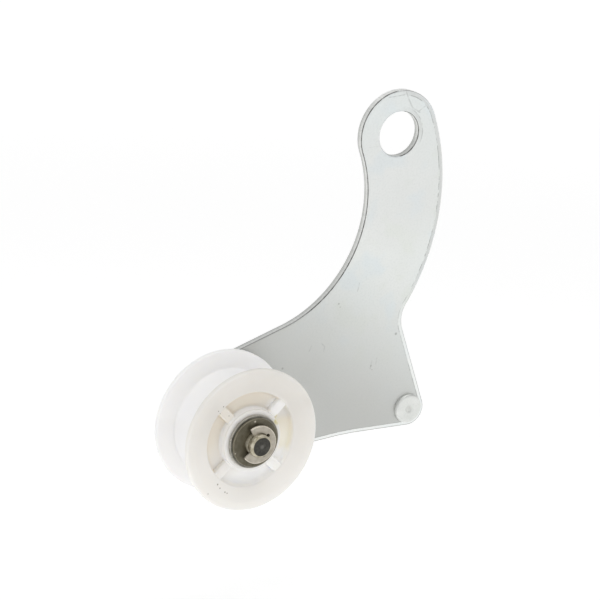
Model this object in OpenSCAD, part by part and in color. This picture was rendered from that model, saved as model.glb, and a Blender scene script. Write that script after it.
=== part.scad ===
// Belt tensioner idler: a flanged belt pulley that turns on a fixed stud at the
// lower left end of a curved sheet-steel lever.
// Millimetres. The origin is the middle of the pivot hole on the lever's front face.
// X runs along the lever's bottom edge, Z is up, and the pulley stands off towards -Y.

/* [Lever] */
// thickness of the sheet
plate_t = 3.2; // [2:0.1:5]
// diameter of the pivot hole
pivot_bore_d = 19.05; // [12:0.05:26]
// radius of the rounded end round the pivot hole
pivot_end_r = 18.5; // [14:0.5:26]
// radius of the arm's centre line
arm_mid_r = 72; // [60:1:90]
// direction from the pivot hole to the centre of the arm's curve, in degrees
arm_centre_dir = 202.87; // [190:0.01:215]
// radius of the inside corner where the arm meets the foot
notch_r = 12; // [6:0.5:20]
// lean of the foot's right edge from upright, in degrees
right_lean = 21.8; // [10:0.1:35]
// corner centre, across
corner_x = 16.9; // [5:0.1:30]
// corner centre, up
corner_z = -122.5; // [-140:0.1:-100]
// corner radius
corner_r = 7.5; // [5:0.1:12]
// where the bottom edge starts to slope, across
bottom_bend_x = -14; // [-40:1:10]
// radius of the rounded end round the pulley stud
stud_end_r = 22.8; // [14:0.1:28]

/* [Pulley place] */
// pulley axis, across
axis_x = -79.3; // [-100:0.1:-60]
// pulley axis, up
axis_z = -113.2; // [-130:0.1:-90]
// gap from the lever's face to the pulley's back
pulley_back = 3; // [2:0.1:8]

/* [Pulley] */
// outside diameter over the flanges
pulley_d = 60; // [40:1:90]
// overall width
pulley_w = 27.6; // [15:0.1:40]
// diameter of the belt groove floor
groove_floor_d = 46; // [30:0.1:54]
// width of each flange at the rim
flange_rim_w = 2.6; // [1.5:0.1:5]
// width of each flange at the groove floor
flange_foot_w = 4.4; // [2:0.1:8]
// rounding on the flange rims
rim_round = 0.9; // [0.3:0.1:1.2]
// diameter at which each end face starts to dish inwards
dish_d = 52.6; // [44:0.1:56]
// depth of the dish at the pockets
dish_depth = 1.6; // [0.5:0.1:4]
// outside diameter of the pockets
pocket_d = 40; // [32:0.1:42]
// hub diameter
hub_d = 26.2; // [18:0.1:30]
// depth of the front pockets' floor below the end face
pocket_depth = 4; // [2:0.1:12]
// thickness of the web between front and back pockets
web_t = 3; // [2:0.1:8]
// width of each rib
rib_w = 4.2; // [1.5:0.1:6]
// depth of the ribs below the end face
rib_inset = 1.7; // [0.5:0.1:8]
// number of ribs on each side
rib_count = 4; // [3:1:8]
// direction of the first rib, in degrees
rib_start = 45; // [0:1:90]

/* [Stud and bearing] */
// stud diameter
stud_d = 9.525; // [6:0.005:14]
// front end of the stud, measured from the lever's face
stud_reach = 38; // [30:0.1:60]
// chamfer on the front end
stud_chamfer = 0.9; // [0.3:0.1:2]
// diameter of the collar against the lever
collar_d = 17; // [12:0.1:24]
// thickness of the collar
collar_t = 1.6; // [1:0.1:4]
// diameter of the tenon through the lever
tenon_d = 7.94; // [5:0.01:9]
// diameter of the riveted head behind the lever
stud_head_d = 12.6; // [9:0.1:18]
// height of the riveted head
stud_head_h = 1.5; // [0.8:0.1:3]
// outside diameter of the sintered bush
bush_d = 14.29; // [11:0.01:20]
// running clearance between bush and stud, on the radius
bush_play = 0.04; // [0.01:0.01:0.1]

/* [Washers and ring] */
// diameter of the washer between collar and hub
rear_washer_d = 19; // [14:0.1:26]
// thickness of that washer
rear_washer_t = 1; // [0.5:0.1:2]
// diameter of the washer against the hub's front
hub_washer_d = 22.5; // [16:0.1:28]
// thickness of that washer
hub_washer_t = 1.2; // [0.5:0.1:2]
// diameter of the outermost washer
outer_washer_d = 20.6; // [14:0.1:26]
// thickness of that washer
outer_washer_t = 1.1; // [0.5:0.1:2]
// rounding on the washers' edges
washer_round = 0.35; // [0.1:0.05:0.45]
// clearance between washers and stud, on the radius
washer_play = 0.08; // [0.02:0.01:0.1]
// retaining ring outside diameter
ring_d = 16; // [12:0.01:22]
// retaining ring thickness
ring_t = 0.9; // [0.5:0.05:1.5]
// back of the retaining ring, measured from the lever's face
ring_back = 34.6; // [30:0.1:50]
// groove diameter in the stud
ring_groove_d = 7.7; // [5:0.05:9]
// middle of the ring's open side, in degrees
ring_open_dir = 170; // [0:1:359]
// half the angle of the open side
ring_open_half = 48; // [35:1:60]

/* [Spring post] */
// post centre, across
post_x = 16.1; // [5:0.1:30]
// post centre, up
post_z = -122; // [-140:0.1:-100]
// front head diameter
post_head_d = 12.8; // [8:0.1:14]
// front head height
post_head_h = 1.7; // [0.8:0.1:4]
// diameter of the shank through the lever
post_shank_d = 7.14; // [4:0.01:9]
// diameter behind the lever
post_d = 10; // [6:0.1:13]
// length behind the lever
post_l = 11; // [6:0.5:20]
// width of the hook groove
hook_groove_w = 3; // [1.5:0.1:6]
// diameter at the bottom of the hook groove
hook_groove_d = 6.6; // [4:0.1:9]

/* [Hidden] */
$fn = 96;
// how far one outline piece reaches into the next where they meet smoothly
lap = 0.02;
arm_half = pivot_end_r - lap;
arm_out_r = arm_mid_r + arm_half;
arm_in_r = arm_mid_r - arm_half;
arm_cx = arm_mid_r * cos(arm_centre_dir);
arm_cz = arm_mid_r * sin(arm_centre_dir);
// right edge: unit normal and its distance along that normal
rn_x = cos(right_lean);
rn_z = sin(right_lean);
right_off = rn_x * corner_x + rn_z * corner_z + corner_r - lap;
// inside corner: a circle that touches the outer arc and the right edge
notch_c_r = arm_out_r + notch_r - lap;
notch_dir = right_lean
    - acos((right_off + notch_r - lap - rn_x * arm_cx - rn_z * arm_cz) / notch_c_r);
notch_x = arm_cx + notch_c_r * cos(notch_dir);
notch_z = arm_cz + notch_c_r * sin(notch_dir);
// bottom edge
bottom_z = corner_z - corner_r + lap;
// upper edge of the foot: a straight line that touches the arm's inner arc
// and the rounded end round the stud, both on the same side
up_len = sqrt(pow(axis_x - arm_cx, 2) + pow(axis_z - arm_cz, 2));
up_dir = atan2(axis_z - arm_cz, axis_x - arm_cx);
up_turn = acos((arm_in_r + stud_end_r - 2 * lap) / up_len);
up_n = up_dir + up_turn;
// lower edge of the foot: from the bend to the rounded end
low_len = sqrt(pow(axis_x - bottom_bend_x, 2) + pow(axis_z - bottom_z, 2));
low_dir = atan2(axis_z - bottom_z, axis_x - bottom_bend_x);
low_turn = asin((stud_end_r - lap) / low_len);
low_n = low_dir + low_turn + 90;
// distances from each rounding's centre to the straight edge that meets it
edge_in = notch_r - lap;
corner_in = corner_r - lap;
stud_in = stud_end_r - lap;
arm_in = arm_in_r - lap;
// pulley stations measured from the lever's face towards the viewer
pulley_front = pulley_back + pulley_w;
pulley_r = pulley_d / 2;
floor_r = groove_floor_d / 2;
bush_back = pulley_back - 0.25;
hub_washer_back = pulley_front + 0.05;
outer_washer_back = hub_washer_back + hub_washer_t + 0.05;
rear_washer_back = collar_t + 0.07;

// turns a shape drawn in (across, up, towards viewer) into (x, z, -y)
module upright() {
    rotate([90, 0, 0]) children();
}

module on_axis() {
    upright() translate([axis_x, axis_z, 0]) children();
}

// outline of the lever, built from solid slabs
module slab() {
    translate([0, 0, -plate_t]) linear_extrude(height = plate_t) children();
}

module cutter() {
    translate([0, 0, -plate_t - 1]) linear_extrude(height = plate_t + 2) children();
}

module lever_plate() {
    color([0.86, 0.87, 0.87])
    upright()
    difference() {
        union() {
            slab() circle(r = pivot_end_r);
            // arm
            intersection() {
                slab() translate([arm_cx, arm_cz]) circle(r = arm_out_r);
                slab() polygon([
                    [arm_cx, arm_cz],
                    [arm_cx + 1.3 * arm_out_r * cos(arm_centre_dir - 180),
                     arm_cz + 1.3 * arm_out_r * sin(arm_centre_dir - 180)],
                    [arm_cx + 1.6 * arm_out_r * cos(0.5 * notch_dir),
                     arm_cz + 1.6 * arm_out_r * sin(0.5 * notch_dir)],
                    [arm_cx + 1.3 * arm_out_r * cos(notch_dir - 4),
                     arm_cz + 1.3 * arm_out_r * sin(notch_dir - 4)]
                ]);
            }
            // foot
            slab() polygon([
                [arm_cx, arm_cz],
                [arm_cx + (arm_out_r - 1) * cos(notch_dir), arm_cz + (arm_out_r - 1) * sin(notch_dir)],
                [notch_x, notch_z],
                [notch_x - edge_in * rn_x, notch_z - edge_in * rn_z],
                [corner_x + corner_in * rn_x, corner_z + corner_in * rn_z],
                [corner_x, bottom_z],
                [bottom_bend_x, bottom_z],
                [axis_x + stud_in * cos(low_n), axis_z + stud_in * sin(low_n)],
                [axis_x - stud_in * cos(up_n), axis_z - stud_in * sin(up_n)],
                [arm_cx + arm_in * cos(up_n), arm_cz + arm_in * sin(up_n)]
            ]);
            slab() translate([corner_x, corner_z]) circle(r = corner_r);
            slab() translate([axis_x, axis_z]) circle(r = stud_end_r);
        }
        cutter() translate([arm_cx, arm_cz]) circle(r = arm_in_r);
        cutter() translate([notch_x, notch_z]) circle(r = notch_r);
        cutter() circle(d = pivot_bore_d);
        cutter() translate([axis_x, axis_z]) circle(d = tenon_d + 0.06);
        cutter() translate([post_x, post_z]) circle(d = post_shank_d + 0.06);
    }
}

// stud: collar against the lever, running length with a ring groove, a chamfered
// front end, and a tenon riveted over behind the lever
module pulley_stud() {
    color([0.55, 0.54, 0.50])
    on_axis()
        rotate_extrude()
        polygon([
            [0, -plate_t - stud_head_h],
            [stud_head_d / 2 - 2.4, -plate_t - stud_head_h],
            [stud_head_d / 2 - 0.9, -plate_t - 0.72 * stud_head_h],
            [stud_head_d / 2, -plate_t - 0.25 * stud_head_h],
            [stud_head_d / 2, -plate_t],
            [tenon_d / 2, -plate_t],
            [tenon_d / 2, 0],
            [collar_d / 2 - 0.3, 0],
            [collar_d / 2, 0.3],
            [collar_d / 2, collar_t - 0.3],
            [collar_d / 2 - 0.3, collar_t],
            [stud_d / 2, collar_t],
            [stud_d / 2, ring_back - 0.04],
            [ring_groove_d / 2, ring_back - 0.04],
            [ring_groove_d / 2, ring_back + ring_t + 0.04],
            [stud_d / 2, ring_back + ring_t + 0.04],
            [stud_d / 2, stud_reach - stud_chamfer],
            [stud_d / 2 - stud_chamfer, stud_reach],
            [0, stud_reach]
        ]);
}

// flat washer with rounded edges on its rim
module washer(d, t, bore_r) {
    rotate_extrude()
    union() {
        translate([bore_r, 0]) square([d / 2 - washer_round - bore_r, t]);
        translate([bore_r, washer_round]) square([d / 2 - bore_r, t - 2 * washer_round]);
        for (v = [washer_round, t - washer_round])
            translate([d / 2 - washer_round, v]) circle(r = washer_round);
    }
}

module rear_washer() {
    color([0.50, 0.49, 0.46])
    on_axis() translate([0, 0, rear_washer_back])
        washer(rear_washer_d, rear_washer_t, stud_d / 2 + washer_play);
}

module hub_washer() {
    color([0.45, 0.43, 0.38])
    on_axis() translate([0, 0, hub_washer_back])
        washer(hub_washer_d, hub_washer_t, stud_d / 2 + washer_play);
}

module outer_washer() {
    color([0.32, 0.29, 0.22])
    on_axis() translate([0, 0, outer_washer_back])
        washer(outer_washer_d, outer_washer_t, stud_d / 2 + washer_play);
}

// the pulley's section, from its back face at 0 to its front face at pulley_w
module pulley_section() {
    web_front = pulley_w - pocket_depth;
    web_back = web_front - web_t;
    union() {
        // hub
        translate([bush_d / 2, 0]) square([(hub_d - bush_d) / 2, pulley_w]);
        // web
        translate([bush_d / 2, web_back]) square([floor_r - bush_d / 2 - 0.5, web_t]);
        // rim wall with both flanges
        polygon([
            [pocket_d / 2, dish_depth],
            [dish_d / 2, 0],
            [pulley_r - rim_round, 0],
            [pulley_r - rim_round, flange_rim_w],
            [floor_r, flange_foot_w],
            [floor_r, pulley_w - flange_foot_w],
            [pulley_r - rim_round, pulley_w - flange_rim_w],
            [pulley_r - rim_round, pulley_w],
            [dish_d / 2, pulley_w],
            [pocket_d / 2, pulley_w - dish_depth]
        ]);
        // rounded rims of the flanges
        for (v = [0, pulley_w - flange_rim_w]) {
            translate([pulley_r - rim_round - 0.1, v + rim_round])
                square([rim_round + 0.1, flange_rim_w - 2 * rim_round]);
            for (u = [rim_round, flange_rim_w - rim_round])
                translate([pulley_r - rim_round, v + u]) circle(r = rim_round);
        }
    }
}

module pulley() {
    color([0.95, 0.94, 0.92])
    on_axis() translate([0, 0, pulley_back])
    union() {
        rotate_extrude() pulley_section();
        for (k = [0 : rib_count - 1])
            rotate([0, 0, rib_start + k * 360 / rib_count])
            translate([hub_d / 2 - 1, -rib_w / 2, rib_inset])
                cube([(pocket_d - hub_d) / 2 + 2, rib_w, pulley_w - 2 * rib_inset]);
    }
}

module bearing_bush() {
    color([0.66, 0.52, 0.34])
    on_axis() translate([0, 0, bush_back])
    difference() {
        cylinder(h = pulley_front - bush_back, d = bush_d);
        translate([0, 0, -1])
            cylinder(h = pulley_front - bush_back + 2, r = stud_d / 2 + bush_play);
    }
}

// open-sided ring with three inward prongs that sit in the stud's groove
module retaining_ring() {
    inner_r = stud_d / 2 + 0.2;
    prong_r = ring_groove_d / 2 + 0.02;
    color([0.66, 0.62, 0.56])
    on_axis() translate([0, 0, ring_back])
    linear_extrude(height = ring_t)
    rotate([0, 0, ring_open_dir])
    difference() {
        circle(d = ring_d);
        difference() {
            circle(r = inner_r);
            // middle prong, opposite the open side
            polygon([
                [0, 0],
                [-inner_r * 1.3, inner_r * 0.42],
                [-inner_r * 1.3, -inner_r * 0.42]
            ]);
            // end prongs
            for (s = [-1, 1])
                polygon([
                    [0, 0],
                    [inner_r * 1.5 * cos(ring_open_half), s * inner_r * 1.5 * sin(ring_open_half)],
                    [inner_r * 1.5 * cos(ring_open_half + 26), s * inner_r * 1.5 * sin(ring_open_half + 26)]
                ]);
        }
        circle(r = prong_r);
        // spring relief on each side of the middle prong
        for (s = [-1, 1])
            rotate([0, 0, s * 129]) translate([stud_d / 2 + 0.55, 0]) circle(r = 0.75);
        // open side
        polygon([
            [0, 0],
            [ring_d * cos(ring_open_half), ring_d * sin(ring_open_half)],
            [ring_d * cos(ring_open_half), -ring_d * sin(ring_open_half)]
        ]);
    }
}

// post for the spring's hook: low button head in front, grooved post behind
module spring_post() {
    r = post_head_d / 2;
    color([0.88, 0.89, 0.87])
    upright() translate([post_x, post_z, 0])
    difference() {
        rotate_extrude()
        polygon([
            [0, -plate_t - post_l],
            [post_d / 2 - 0.6, -plate_t - post_l],
            [post_d / 2, -plate_t - post_l + 0.6],
            [post_d / 2, -plate_t - post_l + 2.6],
            [hook_groove_d / 2, -plate_t - post_l + 3.4],
            [hook_groove_d / 2, -plate_t - post_l + 3.4 + hook_groove_w],
            [post_d / 2, -plate_t - post_l + 4.2 + hook_groove_w],
            [post_d / 2, -plate_t],
            [post_shank_d / 2, -plate_t],
            [post_shank_d / 2, 0],
            [r, 0],
            [r, 0.45 * post_head_h],
            [r - 0.25, 0.75 * post_head_h],
            [r - 0.9, 0.95 * post_head_h],
            [r - 1.8, post_head_h],
            [0, post_head_h]
        ]);
        translate([0, 0, post_head_h - 0.4])
            cylinder(h = 0.5, r1 = 0.35, r2 = 1.1);
    }
}

lever_plate();
pulley_stud();
rear_washer();
pulley();
bearing_bush();
hub_washer();
outer_washer();
retaining_ring();
spring_post();
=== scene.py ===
"""Belt tensioner idler: finished surfaces, floor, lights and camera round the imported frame."""

import math

import bmesh
import bpy
from mathutils import Matrix, Vector
from mathutils.geometry import tessellate_polygon


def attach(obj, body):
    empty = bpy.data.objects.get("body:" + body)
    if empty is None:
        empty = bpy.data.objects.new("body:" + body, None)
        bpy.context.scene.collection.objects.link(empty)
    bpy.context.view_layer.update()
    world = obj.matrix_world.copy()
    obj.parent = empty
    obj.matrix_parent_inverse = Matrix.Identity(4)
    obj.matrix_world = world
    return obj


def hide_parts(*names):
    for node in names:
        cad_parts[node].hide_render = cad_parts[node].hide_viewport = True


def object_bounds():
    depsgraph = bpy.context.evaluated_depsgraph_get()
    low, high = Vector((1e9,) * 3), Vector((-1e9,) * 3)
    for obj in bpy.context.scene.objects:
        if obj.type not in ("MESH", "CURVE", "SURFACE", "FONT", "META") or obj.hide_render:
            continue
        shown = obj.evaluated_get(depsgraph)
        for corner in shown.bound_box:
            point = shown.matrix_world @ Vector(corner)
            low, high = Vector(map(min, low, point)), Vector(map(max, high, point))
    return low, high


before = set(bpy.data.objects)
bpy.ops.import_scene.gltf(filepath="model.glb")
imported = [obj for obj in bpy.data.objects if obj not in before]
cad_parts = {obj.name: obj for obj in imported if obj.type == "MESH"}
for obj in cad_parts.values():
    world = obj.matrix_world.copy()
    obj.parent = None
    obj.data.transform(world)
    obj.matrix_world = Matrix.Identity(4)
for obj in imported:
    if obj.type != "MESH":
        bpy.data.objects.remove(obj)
cad_low, cad_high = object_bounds()

MM = 0.001

# ---------------------------------------------------------------- sizes, in mm
# Places are (across, up, out): across is +X, up is +Z, out is -Y, towards the pulley's free side.
# The pivot hole's centre is at 0, 0, and the lever's front face is at out = 0.
PLATE_T = 3.2
PIVOT_R = 9.525
ARM_MID_R, ARM_HALF_W = 72.0, 18.5  # the curved arm's centre line and half width
ARM_CENTRE_DIR = 202.87  # from the pivot hole to the centre of the arm's curve, degrees
AXIS_X, AXIS_Z = -79.3, -113.2  # the pulley's and stud's axis
STUD_R, STUD_END, STUD_RIVET_R = 4.7625, 38.0, 4.0
RING_BACK, RING_FRONT = 34.6, 35.5
RING_SEAT_R = 3.85  # the floor of the ring's groove in the stud
RING_OPEN_DIR = 170.0
POST_X, POST_Z, POST_RIVET_R = 16.1, -122.0, 3.6
PULLEY_BACK, PULLEY_W, PULLEY_R = 3.0, 27.6, 30.0
GROOVE_R, HUB_R, BUSH_R = 23.0, 13.1, 7.15
RIM_R = 20.0  # where the pockets meet the flanges' dished faces
POCKET_FLOOR = PULLEY_W - 4.0  # the front pockets' floor, from the pulley's back
WEB_BACK = POCKET_FLOOR - 3.0


def unit(deg):
    """(cosine, sine) of an angle in degrees."""
    a = math.radians(deg)
    return math.cos(a), math.sin(a)


# ---------------------------------------------------------------- outlines
def rounded(points, steps=6):
    """A closed outline from (x, y, fillet radius) corners."""
    out = []
    n = len(points)
    for i, (x, y, r) in enumerate(points):
        if r <= 0:
            out.append((x, y))
            continue
        p = Vector((x, y))
        a = (Vector(points[i - 1][:2]) - p).normalized()
        b = (Vector(points[(i + 1) % n][:2]) - p).normalized()
        half = a.angle(b) / 2
        reach = r / math.tan(half)
        centre = p + (a + b).normalized() * (r / math.sin(half))
        start, end = p + a * reach - centre, p + b * reach - centre
        a0 = math.atan2(start.y, start.x)
        turn = (math.atan2(end.y, end.x) - a0 + math.pi) % (2 * math.pi) - math.pi
        for k in range(steps + 1):
            t = a0 + turn * k / steps
            out.append((centre.x + r * math.cos(t), centre.y + r * math.sin(t)))
    return out


def arc(cx, cy, r, start, end, step=1.5):
    """Points on an arc from start to end degrees, whichever way that turns."""
    n = max(2, int(abs(end - start) / step))
    turns = [unit(start + (end - start) * k / n) for k in range(n + 1)]
    return [(cx + r * c, cy + r * s) for c, s in turns]


def area(loop):
    """Signed area, which is positive for a counter-clockwise loop."""
    return 0.5 * sum(
        loop[i - 1][0] * loop[i][1] - loop[i][0] * loop[i - 1][1] for i in range(len(loop))
    )


def thin_out(loop, gap=0.01):
    """The loop without points closer than gap to the one before."""
    kept = []
    for p in loop:
        if not kept or math.dist(p, kept[-1]) > gap:
            kept.append(p)
    if math.dist(kept[0], kept[-1]) <= gap:
        kept.pop()
    return kept


def inset(loop, d):
    """The loop moved by d to its left, which is into the material for a counter-clockwise outside."""
    out = []
    n = len(loop)
    for i in range(n):
        p, a, b = Vector(loop[i]), Vector(loop[i - 1]), Vector(loop[(i + 1) % n])
        u, v = (p - a).normalized(), (b - p).normalized()
        nu, nv = Vector((-u.y, u.x)), Vector((-v.y, v.x))
        m = nu + nv
        m = m / max(m.length_squared / 2, 0.4)
        q = p + m * d
        out.append((q.x, q.y))
    return out


# ---------------------------------------------------------------- meshes
def finish_mesh(name, verts, faces, slots=None, sharp=32.0):
    """A mesh object from (across, up, out) points in mm. slots: a material number for each face."""
    mesh = bpy.data.meshes.new(name)
    mesh.from_pydata([(x * MM, -d * MM, z * MM) for x, z, d in verts], [], faces)
    if slots:
        mesh.polygons.foreach_set("material_index", slots)
    mesh.validate()
    mesh.update()
    obj = bpy.data.objects.new(name, mesh)
    bpy.context.scene.collection.objects.link(obj)

    bm = bmesh.new()
    bm.from_mesh(mesh)
    bmesh.ops.remove_doubles(bm, verts=bm.verts, dist=2e-6)
    bmesh.ops.dissolve_degenerate(bm, edges=bm.edges, dist=1e-6)
    bmesh.ops.recalc_face_normals(bm, faces=bm.faces)
    bm.to_mesh(mesh)
    bm.free()
    for poly in mesh.polygons:
        poly.use_smooth = True
    mesh.set_sharp_from_angle(angle=math.radians(sharp))
    return obj


def lathe(profile, cx=AXIS_X, cz=AXIS_Z, segments=144):
    """(verts, faces) of a closed (radius, out) profile turned round an axis along Y."""
    verts, faces = [], []
    n = len(profile)
    for k in range(segments):
        c, s = unit(360.0 * k / segments)
        verts += [(cx + r * c, cz + r * s, d) for r, d in profile]
    for k in range(segments):
        a, b = k * n, ((k + 1) % segments) * n
        for i in range(n):
            j = (i + 1) % n
            if profile[i][0] < 1e-6 and profile[j][0] < 1e-6:
                continue
            faces.append((a + i, a + j, b + j, b + i))
    return verts, faces


def slab(loops, edge):
    """(verts, faces, slots) of a flat part.

    loops: the outside, counter-clockwise, then the holes, clockwise.
    edge: (inset, out, material number) from the front face's rim round to the back face's rim.
    """
    verts, faces, slots, rims = [], [], [], {0: [], len(edge) - 1: []}
    for loop in loops:
        n = len(loop)
        base = len(verts)
        for k, (d, out, _) in enumerate(edge):
            ring = inset(loop, d) if d else loop
            if k in rims:
                rims[k].append((len(verts), ring))
            verts += [(x, z, out) for x, z in ring]
        for k in range(len(edge) - 1):
            for i in range(n):
                j = (i + 1) % n
                a, b = base + k * n, base + (k + 1) * n
                faces.append((a + i, a + j, b + j, b + i))
                slots.append(edge[k][2])
    for k, rings in rims.items():
        index = [start + i for start, ring in rings for i in range(len(ring))]
        tris = tessellate_polygon([[Vector((x, z, 0)) for x, z in ring] for _, ring in rings])
        faces += [tuple(index[i] for i in t) for t in tris]
    return verts, faces, slots + [0] * (len(faces) - len(slots))


def join(*parts):
    """Several (verts, faces) as one."""
    verts, faces = [], []
    for v, f in parts:
        base = len(verts)
        verts += v
        faces += [tuple(i + base for i in face) for face in f]
    return verts, faces


def united(name, body, extras, sharp):
    """A mesh object of the closed body with the closed extras grown into it."""
    obj, other = finish_mesh(name, *body, sharp=sharp), finish_mesh("extras", *extras, sharp=sharp)
    step = obj.modifiers.new("union", "BOOLEAN")
    step.operation, step.solver, step.object = "UNION", "EXACT", other
    solved = bpy.data.meshes.new_from_object(obj.evaluated_get(bpy.context.evaluated_depsgraph_get()))
    obj.modifiers.clear()
    obj.data = solved
    bpy.data.objects.remove(other)
    for poly in solved.polygons:
        poly.use_smooth = True
    solved.set_sharp_from_angle(angle=math.radians(sharp))
    return obj


def stand_in(name, part, node, body, material, sharp=32.0):
    """The finished piece in place of a CAD node. part: (verts, faces), (verts, faces, slots) or an object."""
    obj = part if isinstance(part, bpy.types.Object) else finish_mesh(name, *part, sharp=sharp)
    obj.data.materials.append(material)
    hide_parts(node)
    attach(obj, body)
    return obj


# ---------------------------------------------------------------- small marks, in mm
# Many of these places are another program's output.
# Pits are (x, z, radius) and scratches are (x, z, x, z, width), both on the lever's front.
SHEET_PITS = [
    (-48.2, -96.5, 0.5),
    (-4.3, -100.6, 0.4),
    (7.0, -87.6, 0.62),
    (-23.0, -71.1, 0.4),
    (-47.4, -98.6, 0.3),
    (-3.6, -102.4, 0.25),
    (-22.2, -72.6, 0.25),
]
SHEET_SCRATCHES = [
    (1.6, 18.0, 3.2, 14.6, 0.45),
    (3.2, 14.6, 5.4, 10.9, 0.5),
    (5.4, 10.9, 9.2, 8.6, 0.45),
    (8.6, 9.0, 11.6, 11.0, 0.4),
    (-6.5, 16.0, 1.0, 16.6, 0.35),
    (-29.8, -87.8, -28.3, -89.2, 0.4),
    (-28.3, -89.2, -28.6, -91.2, 0.4),
    (-35.0, -88.4, -35.8, -90.6, 0.35),
    (-4.0, -98.2, -4.6, -101.8, 0.4),
    (-1.6, -97.4, -1.9, -100.2, 0.3),
    (-13.5, -63.0, -14.2, -66.5, 0.3),
]
# The others are (across, up, radius) from the pulley's axis.
GREASE = [(10.7, 6.9, 1.5), (11.9, 8.0, 1.2)]
SPECKS = [
    (-14.0, 15.9, 0.30),
    (-16.2, 14.3, 0.26),
    (-15.1, 12.9, 0.24),
    (-16.0, 12.1, 0.26),
    (-10.9, 11.5, 0.22),
    (-14.4, -17.1, 0.36),
    (-13.3, -18.8, 0.28),
    (-10.9, -20.8, 0.30),
    (-9.9, -21.4, 0.26),
    (-19.2, -20.1, 0.24),
]
WASHER_FLECKS = [(-1.0, 9.2, 0.42), (-9.2, -3.4, 0.25)]


def from_axis(places):
    """(x, z, radius) of marks that are given from the pulley's axis."""
    return [(AXIS_X + x, AXIS_Z + z, size) for x, z, size in places]


# ---------------------------------------------------------------- materials
class Nodes:
    """Short calls for building a node material."""

    def __init__(self, name):
        self.material = bpy.data.materials.new(name)
        self.material.use_nodes = True
        self.tree = self.material.node_tree
        self.shader = self.tree.nodes["Principled BSDF"]
        self.coord = self.tree.nodes.new("ShaderNodeTexCoord").outputs["Object"]

    def new(self, kind, values=(), **props):
        node = self.tree.nodes.new(kind)
        for key, value in props.items():
            setattr(node, key, value)
        for key, value in dict(values).items():
            self.put(node.inputs[key], value)
        return node

    def put(self, socket, value):
        if isinstance(value, bpy.types.NodeSocket):
            self.tree.links.new(value, socket)
        else:
            socket.default_value = value

    def set(self, **values):
        for key, value in values.items():
            self.put(self.shader.inputs[key.replace("_", " ")], value)

    def math(self, op, a, b=0.0, clamp=False):
        node = self.new("ShaderNodeMath", {0: a, 1: b}, operation=op, use_clamp=clamp)
        return node.outputs[0]

    def noise(self, size_mm, detail=3.0, rough=0.55, stretch=None, distortion=0.0, shift=(0, 0, 0)):
        """Noise of about size_mm, from 0 to 1. stretch lengthens it along X, Y and Z."""
        sx, sy, sz = stretch or (1, 1, 1)
        s = 1 / (size_mm * MM)
        mapped = self.new(
            "ShaderNodeMapping",
            {"Vector": self.coord, "Scale": (s / sx, s / sy, s / sz), "Location": shift},
        )
        node = self.new(
            "ShaderNodeTexNoise",
            {
                "Vector": mapped.outputs[0],
                "Scale": 1.0,
                "Detail": detail,
                "Roughness": rough,
                "Distortion": distortion,
            },
        )
        return node.outputs["Fac"]

    def band(self, value, low, high, to_low=0.0, to_high=1.0):
        """value mapped smoothly from low..high to to_low..to_high."""
        node = self.new(
            "ShaderNodeMapRange",
            {"Value": value, "From Min": low, "From Max": high, "To Min": to_low, "To Max": to_high},
            interpolation_type="SMOOTHSTEP",
        )
        return node.outputs["Result"]

    def mix(self, factor, a, b):
        node = self.new("ShaderNodeMix", data_type="RGBA", clamp_factor=True)
        self.put(node.inputs["Factor"], factor)
        for socket, value in zip([s for s in node.inputs if s.type == "RGBA"], (a, b)):
            if not isinstance(value, bpy.types.NodeSocket):
                value = (*value, 1.0) if len(value) == 3 else value
            self.put(socket, value)
        return next(s for s in node.outputs if s.type == "RGBA")

    def bump(self, height, strength, distance_mm):
        values = {"Height": height, "Strength": strength, "Distance": distance_mm * MM}
        return self.new("ShaderNodeBump", values).outputs[0]

    def split(self):
        """(x, y, z) of the object coordinates in mm."""
        scaled = self.new("ShaderNodeVectorMath", {0: self.coord, 1: (1 / MM,) * 3}, operation="MULTIPLY")
        parts = self.new("ShaderNodeSeparateXYZ", {0: scaled.outputs[0]})
        return parts.outputs

    def times(self, *factors):
        total = factors[0]
        for factor in factors[1:]:
            total = self.math("MULTIPLY", total, factor)
        return total

    def most(self, total, value):
        """The larger of a running total, which starts as None, and value."""
        return value if total is None else self.math("MAXIMUM", total, value)

    def hypot(self, dx, dz):
        return self.math("SQRT", self.math("ADD", self.times(dx, dx), self.times(dz, dz)))

    def radius(self, cx=AXIS_X, cz=AXIS_Z):
        """Distance in mm from an axis along Y."""
        x, _, z = self.split()
        return self.hypot(self.math("SUBTRACT", x, cx), self.math("SUBTRACT", z, cz))

    def dots(self, places):
        """1 inside small soft-edged dots at (x, z, radius) in mm, whatever the depth."""
        x, _, z = self.split()
        total = None
        for px, pz, size in places:
            gap = self.hypot(self.math("SUBTRACT", x, px), self.math("SUBTRACT", z, pz))
            total = self.most(total, self.band(gap, size * 1.3, size * 0.5))
        return total

    def strokes(self, lines):
        """1 on thin soft scratches from (x, z) to (x, z), each with its width, in mm."""
        x, _, z = self.split()
        total = None
        for ax, az, bx, bz, width in lines:
            dx, dz = bx - ax, bz - az
            px, pz = self.math("SUBTRACT", x, ax), self.math("SUBTRACT", z, az)
            dot = self.math("ADD", self.times(px, dx), self.times(pz, dz))
            t = self.math("DIVIDE", dot, dx * dx + dz * dz, clamp=True)
            qx = self.math("SUBTRACT", px, self.times(t, dx))
            qz = self.math("SUBTRACT", pz, self.times(t, dz))
            total = self.most(total, self.band(self.hypot(qx, qz), width, width * 0.3))
        return total


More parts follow.
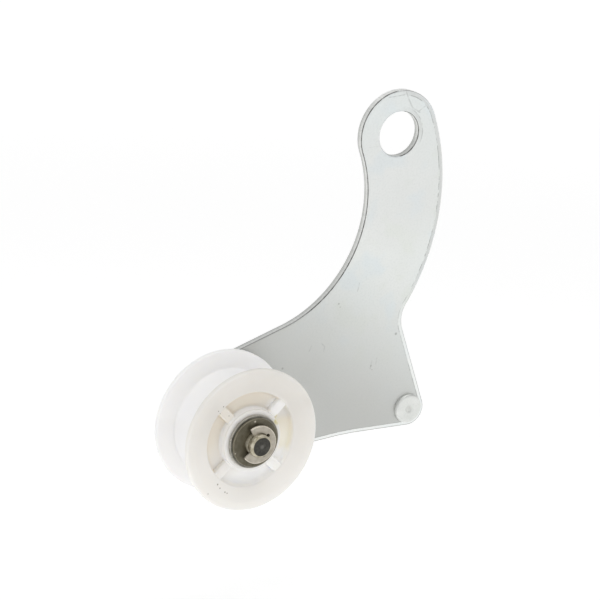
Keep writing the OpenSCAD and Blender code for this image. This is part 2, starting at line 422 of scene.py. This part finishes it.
def zinc_sheet(name, margin=False, rim=False):
    """Zinc-plated sheet.

    margin: the strip just inside the outline, with a rubbed line. rim: the strip outside it.
    """
    n = Nodes(name)
    # far is 1 along the arm's outer edge, by the distance from the centre of the arm's curve
    far = n.band(n.radius(-66.3, -28.0), 78, 84)
    cloud = n.noise(38, 4, 0.5)
    drift = n.noise(90, 2, 0.5, shift=(3, 1, 2))
    grain = n.noise(0.9, 3, 0.6)
    rolled = n.noise(1.2, 3, 0.6, stretch=(1, 1, 26))
    tone = n.mix(n.band(cloud, 0.3, 0.7), (0.725, 0.74, 0.72), (0.80, 0.815, 0.795))
    tone = n.mix(n.band(drift, 0.40, 0.60, 0.0, 0.7), tone, (0.73, 0.775, 0.765))
    stain = n.noise(17, 2, 0.5, shift=(1, 5, 4))
    tone = n.mix(n.band(stain, 0.52, 0.66, 0.0, 0.5), tone, (0.70, 0.765, 0.79))
    tone = n.mix(n.band(stain, 0.46, 0.34, 0.0, 0.5), tone, (0.72, 0.75, 0.70))
    x, y, z = n.split()
    front = n.band(y, 1.6, 0.8)
    # painted shade: darker towards the foot and the lower left, where the sheet reflects less light
    low = n.band(n.math("ADD", z, n.times(x, 0.7)), -50, -136, 0.0, 0.94)
    # on the rim strip the painted shade stays off the arm's outer edge; along that edge it gets a painted
    # highlight low down and is darker higher up
    if rim:
        low = n.times(low, n.math("SUBTRACT", 1.0, far))
        tone = n.mix(n.times(far, n.band(z, -70, -110, 0.0, 0.5)), tone, (0.95, 0.96, 0.94))
        tone = n.mix(n.times(far, n.band(z, -80, -55, 0.0, 0.6)), tone, (0.56, 0.57, 0.56))
    # the painted shade towards the foot
    tone = n.mix(low, tone, (0.50, 0.505, 0.485))
    tone = n.mix(n.band(z, -52, -30, 0.0, 0.25), tone, (0.62, 0.63, 0.63))
    tone = n.mix(n.times(n.band(grain, 0.45, 0.8), 0.16), tone, (0.50, 0.53, 0.53))
    level = n.band(n.noise(0.42, 2, 0.5, stretch=(60, 1, 1.3), distortion=0.15), 0.70, 0.76)
    upright = n.noise(0.5, 2, 0.5, stretch=(1.2, 1, 70), distortion=0.2, shift=(9, 4, 7))
    upright = n.band(upright, 0.71, 0.77)
    wear = n.times(n.math("MAXIMUM", level, upright), n.band(n.noise(22, 2), 0.42, 0.6))
    tone = n.mix(n.times(wear, 0.28), tone, (0.42, 0.43, 0.42))
    wobble = n.times(n.band(n.noise(1.6, 3), 0.35, 0.6, 0.35, 1.0), 0.42)
    tone = n.mix(n.times(front, n.strokes(SHEET_SCRATCHES), wobble), tone, (0.36, 0.37, 0.36))
    tone = n.mix(n.times(front, n.dots(SHEET_PITS), 0.55), tone, (0.24, 0.24, 0.22))
    if margin:
        rubbed = n.times(far, n.band(n.noise(3.2, 3, 0.6, shift=(2, 7, 1)), 0.40, 0.60))
        strength = n.band(z, -50, -90, 0.72, 0.45)
        tone = n.mix(n.times(rubbed, strength), tone, (0.34, 0.35, 0.34))
    rough = n.band(cloud, 0.3, 0.7, 0.36, 0.46)
    rough = n.math("ADD", rough, n.times(n.band(grain, 0.3, 0.7), 0.10))
    height = n.math("ADD", n.times(grain, 0.5), n.times(rolled, 0.5))
    height = n.math("SUBTRACT", height, n.times(wear, 0.8))
    n.set(Base_Color=tone, Roughness=rough, Normal=n.bump(height, 0.10, 0.05))
    n.set(Metallic=0.85)
    return n.material


def zinc_cut_edge():
    """The blanked edge: a bright sheared band in front of a duller fracture band."""
    n = Nodes("zinc_cut_edge")
    _, y, z = n.split()
    streak = n.noise(0.5, 3, 0.6, stretch=(1, 14, 1))
    depth = n.math("ADD", y, n.times(n.math("SUBTRACT", n.noise(4.0, 2), 0.5), 1.2))
    broken = n.band(depth, 1.5, 1.9)
    tone = n.mix(broken, (0.74, 0.75, 0.73), (0.60, 0.61, 0.59))
    # painted light: lighter along the top edges, which face the light from above
    tone = n.mix(n.band(z, 8, 17), tone, (0.93, 0.94, 0.92))
    tone = n.mix(n.times(n.band(streak, 0.4, 0.7), 0.35), tone, (0.46, 0.47, 0.46))
    n.set(Base_Color=tone, Roughness=n.band(broken, 0.0, 1.0, 0.40, 0.58), Normal=n.bump(streak, 0.25, 0.08))
    n.set(Metallic=0.3)
    return n.material


def zinc_painted_dark_edge():
    """The rolled-over front corner of the blanked edge on the sides that face left, painted dark: a painted
    dark reflection.
    """
    n = Nodes("zinc_painted_dark_edge")
    x, _, _ = n.split()
    lighter_patches = n.math("MAXIMUM", n.band(n.noise(2.6, 3, 0.6), 0.42, 0.62), n.band(x, -32, -56, 0.0, 2.4))
    # painted dark reflection, lighter in patches and towards the left end
    n.set(Base_Color=n.mix(lighter_patches, (0.10, 0.10, 0.095), (0.28, 0.28, 0.27)), Roughness=0.42)
    n.set(Metallic=0.6)
    return n.material


def zinc_post():
    n = Nodes("zinc_post")
    cloud = n.noise(5, 3, 0.5)
    grain = n.noise(0.6, 3, 0.6)
    r = n.radius(POST_X, POST_Z)
    tone = n.mix(n.band(cloud, 0.3, 0.7), (0.72, 0.735, 0.71), (0.79, 0.80, 0.775))
    # painted shade: darker in the centre dimple
    tone = n.mix(n.band(r, 2.0, 1.0, 0.0, 0.35), tone, (0.56, 0.56, 0.53))
    tone = n.mix(n.times(n.band(grain, 0.5, 0.75), 0.2), tone, (0.55, 0.57, 0.56))
    n.set(Base_Color=tone, Roughness=n.band(grain, 0.3, 0.7, 0.42, 0.58), Normal=n.bump(grain, 0.12, 0.05))
    n.set(Metallic=0.7)
    return n.material


def white_plastic():
    n = Nodes("white_plastic")
    cloud = n.noise(16, 3, 0.5)
    fine = n.noise(0.35, 2, 0.6)
    swirl = n.noise(3.0, 3, 0.5, distortion=0.6)
    r = n.radius()
    x, y, z = n.split()
    across, up = n.math("SUBTRACT", x, AXIS_X), n.math("SUBTRACT", z, AXIS_Z)
    # painted shade: darker towards the top and lighter towards the bottom, as light from above falls on the
    # dished faces
    tone = n.mix(n.band(up, 22, -24), (0.77, 0.748, 0.708), (0.885, 0.865, 0.832))
    tone = n.mix(n.band(cloud, 0.3, 0.7, 0.0, 0.3), tone, (0.88, 0.86, 0.835))
    lean = n.math("SUBTRACT", n.times(up, 0.8), n.times(across, 0.6))
    inside = n.times(n.band(r, 20.3, 19.5), n.band(y, -29.4, -28.4))
    # painted light behind the front face: the groove and flanges lighter towards the top, where the groove
    # lies in shade between the flanges
    painted_light_zone = n.times(n.band(y, -28.0, -26.5), n.band(r, 21.0, 22.5))
    painted_light_tone = n.mix(n.band(up, 0, 12), (0.905, 0.895, 0.888), (0.985, 0.965, 0.945))
    tone = n.mix(painted_light_zone, tone, painted_light_tone)
    # painted shade with a tan cast in the pockets, strongest towards the upper left, where the rim shades the
    # pocket floors
    dark_tint = n.times(inside, n.band(r, 13.3, 14.2), n.band(lean, -5, 14, 0.0, 0.68))
    tone = n.mix(dark_tint, tone, (0.83, 0.755, 0.63))
    # painted light: lighter in the pockets towards the lower right
    tone = n.mix(n.times(inside, n.band(lean, -4, -13)), tone, (1.0, 0.985, 0.955))
    # painted shade: a tan cast in the right-hand pocket
    tan = n.times(inside, n.band(across, 8, 14), n.band(n.math("ABSOLUTE", up), 9, 5))
    tone = n.mix(n.times(tan, 0.6), tone, (0.90, 0.82, 0.66))
    rubbed = n.math("MAXIMUM", n.band(r, 13.8, 13.3), n.dots(from_axis([(11.8, 11.8, 4.0)])))
    tone = n.mix(n.times(rubbed, n.band(y, -29.9, -29.2)), tone, (0.97, 0.955, 0.935))
    grease = n.dots(from_axis(GREASE))
    grease = n.times(grease, n.band(swirl, 0.30, 0.5, 0.6, 1.0))
    tone = n.mix(n.times(grease, 0.85), tone, (0.66, 0.58, 0.26))
    dirt = n.dots(from_axis(SPECKS))
    tone = n.mix(n.times(dirt, n.band(y, -26.5, -27.5, 0.0, 0.8)), tone, (0.16, 0.13, 0.08))
    height = n.math("ADD", n.times(fine, 0.35), n.times(swirl, 0.65))
    n.set(Base_Color=tone, Roughness=n.band(cloud, 0.3, 0.7, 0.34, 0.42), Normal=n.bump(height, 0.06, 0.08))
    n.set(Subsurface_Weight=0.75, Subsurface_Scale=0.003, Subsurface_Radius=(1.0, 0.97, 0.9))
    n.set(IOR=1.48)
    return n.material


def bare_steel(name, dark, light, rough, rim, wear, oil, metal, lines=True, fleck=()):
    """Plain or oily steel round the pulley's axis. rim: (start, end) radius of a brighter rubbed rim."""
    n = Nodes(name)
    r = n.radius()
    patch = n.noise(2.4, 4, 0.6)
    fine = n.noise(0.3, 3, 0.6)
    tone = n.mix(n.band(patch, 0.3, 0.7), dark, light)
    rubbed = n.times(n.band(r, *rim), n.band(n.noise(0.8, 3), 0.2, 0.6, 0.55, 1.0))
    tone = n.mix(rubbed, tone, tuple(min(1.0, wear * c + 0.04) for c in light))
    dark_tint = n.band(n.noise(4.5, 3, 0.6, shift=(5, 2, 8)), 0.35, 0.62)
    tone = n.mix(n.times(dark_tint, oil), tone, (0.045, 0.034, 0.014))
    tone = n.mix(n.times(n.band(fine, 0.55, 0.8), 0.35), tone, light)
    if fleck:
        tone = n.mix(n.dots(fleck), tone, (0.58, 0.54, 0.45))
    height = fine
    if lines:
        ring = n.new("ShaderNodeTexNoise", {"Scale": 1.0, "Detail": 2.0}, noise_dimensions="1D")
        n.put(ring.inputs["W"], n.times(r, 6.0))
        height = n.math("ADD", n.times(fine, 0.5), n.times(ring.outputs["Fac"], 0.5))
    n.set(Base_Color=tone, Roughness=n.band(patch, 0.3, 0.7, rough - 0.07, rough + 0.07))
    n.set(Normal=n.bump(height, 0.22, 0.06))
    n.set(Metallic=metal)
    return n.material


def stud_steel():
    n = Nodes("stud_steel")
    r = n.radius()
    _, y, _ = n.split()
    patch = n.noise(1.6, 4, 0.6)
    fine = n.noise(0.25, 3, 0.6)
    turned = n.noise(0.35, 2, 0.5, stretch=(40, 1, 40))
    side = n.mix(n.band(patch, 0.35, 0.65), (0.38, 0.34, 0.24), (0.60, 0.56, 0.45))
    oily = n.times(n.band(n.noise(1.3, 3, shift=(4, 4, 1)), 0.60, 0.70), 0.6)
    side = n.mix(oily, side, (0.16, 0.13, 0.07))
    end = n.mix(n.band(patch, 0.3, 0.7), (0.035, 0.033, 0.028), (0.075, 0.072, 0.062))
    # painted highlight: lighter at the centre of the dark end face
    end = n.mix(n.band(r, 1.3, 0.3, 0.0, 0.7), end, (0.16, 0.155, 0.14))
    on_end = n.times(n.band(y, 0.15 - STUD_END, 0.03 - STUD_END), n.band(r, 4.0, 3.8))
    tone = n.mix(on_end, side, end)
    tone = n.mix(n.band(y, 0.5, 2.5, 0.0, 0.85), tone, (0.52, 0.51, 0.47))
    height = n.math("ADD", n.times(fine, 0.4), n.times(turned, 0.6))
    n.set(Base_Color=tone, Roughness=n.band(patch, 0.3, 0.7, 0.42, 0.56), Normal=n.bump(height, 0.3, 0.06))
    n.set(Metallic=0.7)
    return n.material


def bronze():
    n = Nodes("oiled_bronze")
    patch = n.noise(3, 4, 0.6)
    pores = n.noise(0.22, 2, 0.5)
    tone = n.mix(n.band(patch, 0.3, 0.7), (0.40, 0.26, 0.12), (0.55, 0.39, 0.21))
    tone = n.mix(n.band(pores, 0.62, 0.75), tone, (0.10, 0.06, 0.03))
    n.set(Base_Color=tone, Roughness=n.band(pores, 0.3, 0.7, 0.34, 0.55), Normal=n.bump(pores, 0.3, 0.05))
    n.set(Metallic=0.9)
    return n.material


def studio_floor():
    """White floor with a glow of its own, weaker near the part, where the lamps add their light."""
    n = Nodes("studio_floor")
    away = n.new("ShaderNodeVectorMath", {0: n.coord}, operation="LENGTH").outputs["Value"]
    n.set(Base_Color=(0.94, 0.94, 0.94, 1.0), Roughness=0.9)
    n.set(Emission_Color=(1.0, 1.0, 1.0, 1.0), Emission_Strength=n.band(away, 0.5, 1.5, 0.31, 0.54))
    return n.material


# ---------------------------------------------------------------- the lever
def lever_loops():
    """(outside, holes) of the sheet."""
    cx, cz = ARM_MID_R * unit(ARM_CENTRE_DIR)[0], ARM_MID_R * unit(ARM_CENTRE_DIR)[1]
    r_out, r_in = ARM_MID_R + ARM_HALF_W, ARM_MID_R - ARM_HALF_W
    lean = 21.8  # the direction that the right edge faces, degrees
    kx, kz, kr = 16.9, -122.5, 7.5  # the rounded corner beside the post
    notch_r = 12.0
    end_r = 22.8  # the round end at the stud
    bend_x, bottom = -14.0, kz - kr
    nx, nz = unit(lean)
    off = nx * kx + nz * kz + kr
    reach = r_out + notch_r
    ndir = lean - math.degrees(math.acos((off + notch_r - nx * cx - nz * cz) / reach))
    fx, fz = cx + reach * unit(ndir)[0], cz + reach * unit(ndir)[1]
    up_len = math.dist((AXIS_X, AXIS_Z), (cx, cz))
    up = math.degrees(math.atan2(AXIS_Z - cz, AXIS_X - cx) + math.acos((r_in + end_r) / up_len))
    low_len = math.dist((AXIS_X, AXIS_Z), (bend_x, bottom))
    low = math.degrees(math.atan2(AXIS_Z - bottom, AXIS_X - bend_x) + math.asin(end_r / low_len)) + 90
    away = ARM_CENTRE_DIR - 180
    loop = arc(0, 0, ARM_HALF_W, away, away + 180)
    loop += arc(cx, cz, r_in, away, up)
    loop += arc(AXIS_X, AXIS_Z, end_r, up + 180, low)
    bend = Vector((bend_x, bottom))
    tangent = Vector((AXIS_X + end_r * unit(low)[0], AXIS_Z + end_r * unit(low)[1]))
    loop += [tuple(bend.lerp(tangent, t)) for t in (0.12, 0.06)]
    loop += [(bend_x + 3.0, bottom)]
    loop += arc(kx, kz, kr, -90, lean)
    loop += arc(fx, fz, notch_r, lean + 180, ndir + 180)
    loop += arc(cx, cz, r_out, ndir, away)
    loop = thin_out(loop)
    holes = [
        arc(0, 0, PIVOT_R, 360, 0, 3)[:-1],
        arc(AXIS_X, AXIS_Z, STUD_RIVET_R, 360, 0, 8)[:-1],
        arc(POST_X, POST_Z, POST_RIVET_R, 360, 0, 8)[:-1],
    ]
    return loop, holes


def quarter(depth, width, out=0.0, steps=5):
    """(inset, out, material number) of a rounded front edge that starts on the front face."""
    turn = [math.pi / 2 * k / steps for k in range(steps + 1)]
    return [(width * (1 - math.sin(t)), out - depth * (1 - math.cos(t)), 0 if t < 0.6 else 1) for t in turn]


def lever_plate():
    """The sheet. Its materials are 0 sheet, 1 cut edge, 2 painted dark reflection, 3 margin and 4 rim."""
    outside, holes = lever_loops()
    margin = [(2.1, 0.0, 3), (1.7, 0.0, 4)]
    edge = margin + quarter(0.45, 0.6) + [(0.0, -PLATE_T + 0.18, 1), (0.12, -PLATE_T, 1)]
    part = slab([outside] + holes, edge)
    obj = stand_in("lever_plate_sheet", part, "lever_plate", "lever", MAT["zinc_sheet"], 40)
    for name in ("zinc_cut_edge", "zinc_painted_dark_edge", "zinc_margin", "zinc_rim"):
        obj.data.materials.append(MAT[name])
    # front corner of the cut edge: left-facing faces get the painted dark reflection, the others the rim
    for poly in obj.data.polygons:
        if poly.material_index == 1 and poly.center.y < 0.45 * MM:
            poly.material_index = 2 if poly.normal.x < -0.1 else 4
    return obj


# ---------------------------------------------------------------- the pulley
def pulley_profile():
    w = PULLEY_W
    section = [
        (BUSH_R, w, 0.3),
        (HUB_R, w, 0.7),
        (13.3, POCKET_FLOOR, 1.4),
        (19.7, POCKET_FLOOR, 1.2),
        (RIM_R, w - 1.6, 1.0),
        (26.3, w, 3.0),
        (PULLEY_R, w, 0.9),
        (PULLEY_R, w - 2.6, 0.8),
        (GROOVE_R, w - 4.4, 0.9),
        (GROOVE_R, 4.4, 0.9),
        (PULLEY_R, 2.6, 0.8),
        (PULLEY_R, 0, 0.9),
        (26.3, 0, 3.0),
        (RIM_R, 1.6, 0.45),
        (19.7, WEB_BACK, 0.9),
        (13.3, WEB_BACK, 1.1),
        (HUB_R, 0, 0.6),
        (BUSH_R, 0, 0.3),
    ]
    return [(r, PULLEY_BACK + v) for r, v in rounded(section, 6)]


def rib(direction, low, high, up):
    """One rib between hub and rim, from low to high, with its rounded edge at high if up, else at low."""
    half_w, round_r = 2.1, 0.8
    foot, top = (low, high) if up else (high, low)
    section = [
        (-half_w - 0.1, foot, 0),
        (half_w + 0.1, foot, 0),
        (half_w, top, round_r),
        (-half_w, top, round_r),
    ]
    section = rounded(section, 5)
    c, s = unit(direction)
    verts = []
    for r in (12.4, 20.9):
        for w, v in section:
            verts.append((AXIS_X + r * c - w * s, AXIS_Z + r * s + w * c, PULLEY_BACK + v))
    n = len(section)
    faces = [(i, (i + 1) % n, n + (i + 1) % n, n + i) for i in range(n)]
    faces += [tuple(range(n)), tuple(range(2 * n - 1, n - 1, -1))]
    return verts, faces


def pulley():
    ribs = []
    for k in range(4):
        ribs.append(rib(45 + 90 * k, POCKET_FLOOR - 1, PULLEY_W - 1.7, True))
        ribs.append(rib(45 + 90 * k, 1.7, WEB_BACK + 1, False))
    obj = united("pulley_wheel", lathe(pulley_profile(), segments=180), join(*ribs), 38)
    return stand_in("pulley_wheel", obj, "pulley", "wheel", MAT["white_plastic"])


# ---------------------------------------------------------------- stud, washers, ring, post
def stud():
    back = -PLATE_T
    profile = [
        (0, back - 1.5, 0),
        (3.9, back - 1.5, 1.5),
        (5.9, back - 0.7, 0.6),
        (6.3, back, 0.1),
        (STUD_RIVET_R, back, 0),
        (STUD_RIVET_R, 0, 0),
        (8.5, 0.0, 0.25),
        (8.5, 1.6, 0.3),
        (STUD_R, 1.6, 0.1),
        (STUD_R, RING_BACK - 0.04, 0.08),
        (RING_SEAT_R, RING_BACK - 0.04, 0.08),
        (RING_SEAT_R, RING_FRONT + 0.04, 0.08),
        (STUD_R, RING_FRONT + 0.04, 0.08),
        (STUD_R, STUD_END - 0.9, 0.15),
        (STUD_R - 0.9, STUD_END, 0.12),
        (0, STUD_END, 0),
    ]
    part = lathe(rounded(profile, 4), segments=96)
    return stand_in("pulley_stud_turned", part, "pulley_stud", "lever", MAT["stud_steel"], 28)


def washer(name, node, body, material, outer, back, thick):
    bore, edge_r = STUD_R + 0.08, 0.35
    profile = [
        (bore, back, 0.08),
        (outer, back, edge_r * 0.6),
        (outer, back + thick, edge_r),
        (bore, back + thick, 0.12),
    ]
    part = lathe(rounded(profile, 5), segments=120)
    return stand_in(name, part, node, body, material, sharp=50)


def retaining_ring():
    outer, inner, prong = 8.0, 4.96, 3.87
    gap, tip, mid = 48.0, 76.0, 22.5

    def ray(r, a):
        return r * unit(a)[0], r * unit(a)[1]

    def sweep(r, a, b, trim):
        """An arc that stops trim degrees short of both ends."""
        s = math.copysign(trim, b - a)
        return [(x, y, 0) for x, y in arc(0, 0, r, a + s, b - s, 4)]

    def corner(r, a, f):
        return [(*ray(r, a), f)]

    def relief(a):
        """The round spring relief in the inner edge at angle a."""
        x, y = ray(STUD_R + 0.55, a)
        return [(u, v, 0) for u, v in arc(x, y, 0.75, a + 118, a - 118, 20)]

    pts = corner(outer, gap, 0.55) + sweep(outer, gap, 360 - gap, 7) + corner(outer, -gap, 0.55)
    pts += corner(prong, -gap, 0.3) + sweep(prong, -gap, -tip, 7) + corner(prong, -tip, 0.15)
    pts += corner(inner, -tip, 0.3) + sweep(inner, -tip, -120, 6) + relief(-129)
    pts += sweep(inner, -138, -180 + mid, 5) + corner(inner, -180 + mid, 0.2)
    pts += corner(prong, -180 + mid, 0.15) + sweep(prong, -180 + mid, -180 - mid, 7)
    pts += corner(prong, -180 - mid, 0.15) + corner(inner, -180 - mid, 0.2)
    pts += sweep(inner, -180 - mid, -222, 5) + relief(-231)
    pts += sweep(inner, -240, -360 + tip, 6) + corner(inner, tip, 0.3)
    pts += corner(prong, tip, 0.15) + sweep(prong, tip, gap, 7) + corner(prong, gap, 0.3)
    loop = thin_out(rounded(pts, 4), 0.02)
    c, s = unit(RING_OPEN_DIR)
    loop = [(AXIS_X + x * c - y * s, AXIS_Z + x * s + y * c) for x, y in loop]
    if area(loop) < 0:
        loop.reverse()
    edge = [(d, out, 0) for d, out, _ in quarter(0.22, 0.25, RING_FRONT, 4)]
    edge += [(0, RING_BACK + 0.08, 0), (0.06, RING_BACK, 0)]
    part, steel = slab([loop], edge), MAT["ring_steel"]
    return stand_in("retaining_ring_stamped", part, "retaining_ring", "lever", steel, sharp=45)


def spring_post():
    end = -PLATE_T - 11
    profile = [
        (0, end, 0),
        (5, end, 0.6),
        (5, end + 2.6, 0.3),
        (3.3, end + 3.4, 0.4),
        (3.3, end + 6.4, 0.4),
        (5, end + 7.2, 0.3),
        (5, -PLATE_T, 0),
        (POST_RIVET_R - 0.03, -PLATE_T, 0),
        (POST_RIVET_R - 0.03, 0, 0),
        (6.4, 0, 0.1),
        (6.4, 1.7, 1.1),
        (2.0, 1.7, 0.5),
        (1.1, 1.35, 0.3),
        (0.3, 1.5, 0.1),
        (0, 1.5, 0),
    ]
    part = lathe(rounded(profile, 6), POST_X, POST_Z, segments=72)
    return stand_in("spring_post_turned", part, "spring_post", "lever", MAT["zinc_post"], 30)


def bush():
    bore, outside = STUD_R + 0.04, BUSH_R - 0.005
    back, front = PULLEY_BACK - 0.25, PULLEY_BACK + PULLEY_W
    profile = [(bore, back, 0.3), (outside, back, 0.4), (outside, front, 0.3), (bore, front, 0.3)]
    part = lathe(rounded(profile, 3), segments=96)
    return stand_in("bearing_bush_sintered", part, "bearing_bush", "wheel", MAT["bronze"], 30)


MAT = {
    "zinc_sheet": zinc_sheet("zinc_sheet"),
    "zinc_margin": zinc_sheet("zinc_margin", margin=True),
    "zinc_rim": zinc_sheet("zinc_rim", rim=True),
    "zinc_painted_dark_edge": zinc_painted_dark_edge(),
    "zinc_cut_edge": zinc_cut_edge(),
    "zinc_post": zinc_post(),
    "white_plastic": white_plastic(),
    "stud_steel": stud_steel(),
    "hub_washer": bare_steel(
        "hub_washer_steel", (0.13, 0.125, 0.105), (0.25, 0.24, 0.21), 0.34, (10.85, 11.15), 1.8,
        oil=0.25, metal=0.5,
    ),
    "outer_washer": bare_steel(
        "oily_washer", (0.085, 0.075, 0.045), (0.14, 0.125, 0.085), 0.42, (9.9, 10.25), 1.5,
        oil=0.2, metal=0.35, fleck=from_axis(WASHER_FLECKS),
    ),
    "ring_steel": bare_steel(
        "ring_steel", (0.40, 0.365, 0.30), (0.52, 0.48, 0.41), 0.42, (7.5, 7.9), 1.5,
        oil=0.15, metal=0.6, lines=False,
    ),
    "bronze": bronze(),
}

lever_plate()
pulley()
stud()
retaining_ring()
spring_post()
bush()
HUB_STEEL, END_STEEL = MAT["hub_washer"], MAT["outer_washer"]
washer("rear_washer_flat", "rear_washer", "back_washer", HUB_STEEL, 9.5, 1.67, 1.0)
washer("hub_washer_flat", "hub_washer", "front_washer", HUB_STEEL, 11.25, 30.65, 1.2)
washer("outer_washer_flat", "outer_washer", "end_washer", END_STEEL, 10.3, 31.9, 1.1)


# ---------------------------------------------------------------- stage
def stage():
    """White floor under a white sky that is dimmer overhead than at the sides."""
    mesh = bpy.data.meshes.new("studio_floor")
    half, level = 9.0, cad_low[2] - 0.07
    corners = [(-half, -half, level), (half, -half, level), (half, half, level), (-half, half, level)]
    mesh.from_pydata(corners, [], [(0, 1, 2, 3)])
    floor = bpy.data.objects.new("studio_floor", mesh)
    bpy.context.scene.collection.objects.link(floor)
    mesh.materials.append(studio_floor())

    world = bpy.data.worlds.new("studio")
    bpy.context.scene.world = world
    world.use_nodes = True
    tree = world.node_tree
    tree.nodes["Background"].inputs["Color"].default_value = (1.0, 1.0, 1.0, 1.0)
    parts = tree.nodes.new("ShaderNodeSeparateXYZ")
    fade = tree.nodes.new("ShaderNodeMapRange")
    for socket, value in (("From Min", 0.10), ("From Max", 0.28), ("To Min", 1.0), ("To Max", 0.45)):
        fade.inputs[socket].default_value = value
    tree.links.new(tree.nodes.new("ShaderNodeTexCoord").outputs["Generated"], parts.inputs[0])
    tree.links.new(parts.outputs["Z"], fade.inputs["Value"])
    tree.links.new(fade.outputs[0], tree.nodes["Background"].inputs["Strength"])


def lamp(name, place, aim, size, watts):
    data = bpy.data.lights.new(name, "AREA")
    data.shape = "RECTANGLE"
    data.size, data.size_y = size
    data.energy = watts
    obj = bpy.data.objects.new(name, data)
    bpy.context.scene.collection.objects.link(obj)
    obj.location = place
    obj.rotation_euler = (Vector(aim) - Vector(place)).to_track_quat("-Z", "Y").to_euler()


def camera():
    """The camera at the viewing angle that was fitted to the photograph."""
    azimuth, elevation, roll = -32.868, 17.893, 4.42
    aim, distance = Vector((-0.04205, 0.0003, -0.06745)), 1.20437
    a, e = math.radians(azimuth), math.radians(elevation)
    back = Vector((math.sin(a) * math.cos(e), -math.cos(a) * math.cos(e), math.sin(e)))
    data = bpy.data.cameras.new("camera")
    data.sensor_width = 36.0
    data.lens = 175.94
    data.clip_start, data.clip_end = 0.05, 50.0
    obj = bpy.data.objects.new("camera", data)
    bpy.context.scene.collection.objects.link(obj)
    turn = back.to_track_quat("Z", "Y").to_matrix() @ Matrix.Rotation(math.radians(roll), 3, "Z")
    obj.matrix_world = Matrix.Translation(aim + back * distance) @ turn.to_4x4()
    bpy.context.scene.camera = obj


stage()
lamp("key_light", (-0.7, -1.2, 0.8), (-0.07, 0, -0.1), (0.45, 0.45), 1.2)
lamp("side_light", (-1.4, -0.05, 0.35), (-0.08, 0, -0.11), (0.5, 0.9), 1.7)
lamp("top_light", (0.0, -0.12, 1.4), (-0.04, 0, -0.07), (1.2, 1.2), 8.5)
lamp("front_light", (0.85, -1.1, 0.0), (-0.04, 0, -0.07), (0.5, 0.35), 0.5)
camera()

view = bpy.context.scene.view_settings
view.view_transform = "Standard"
view.look = "None"
view.exposure = 0.0
view.gamma = 1.0
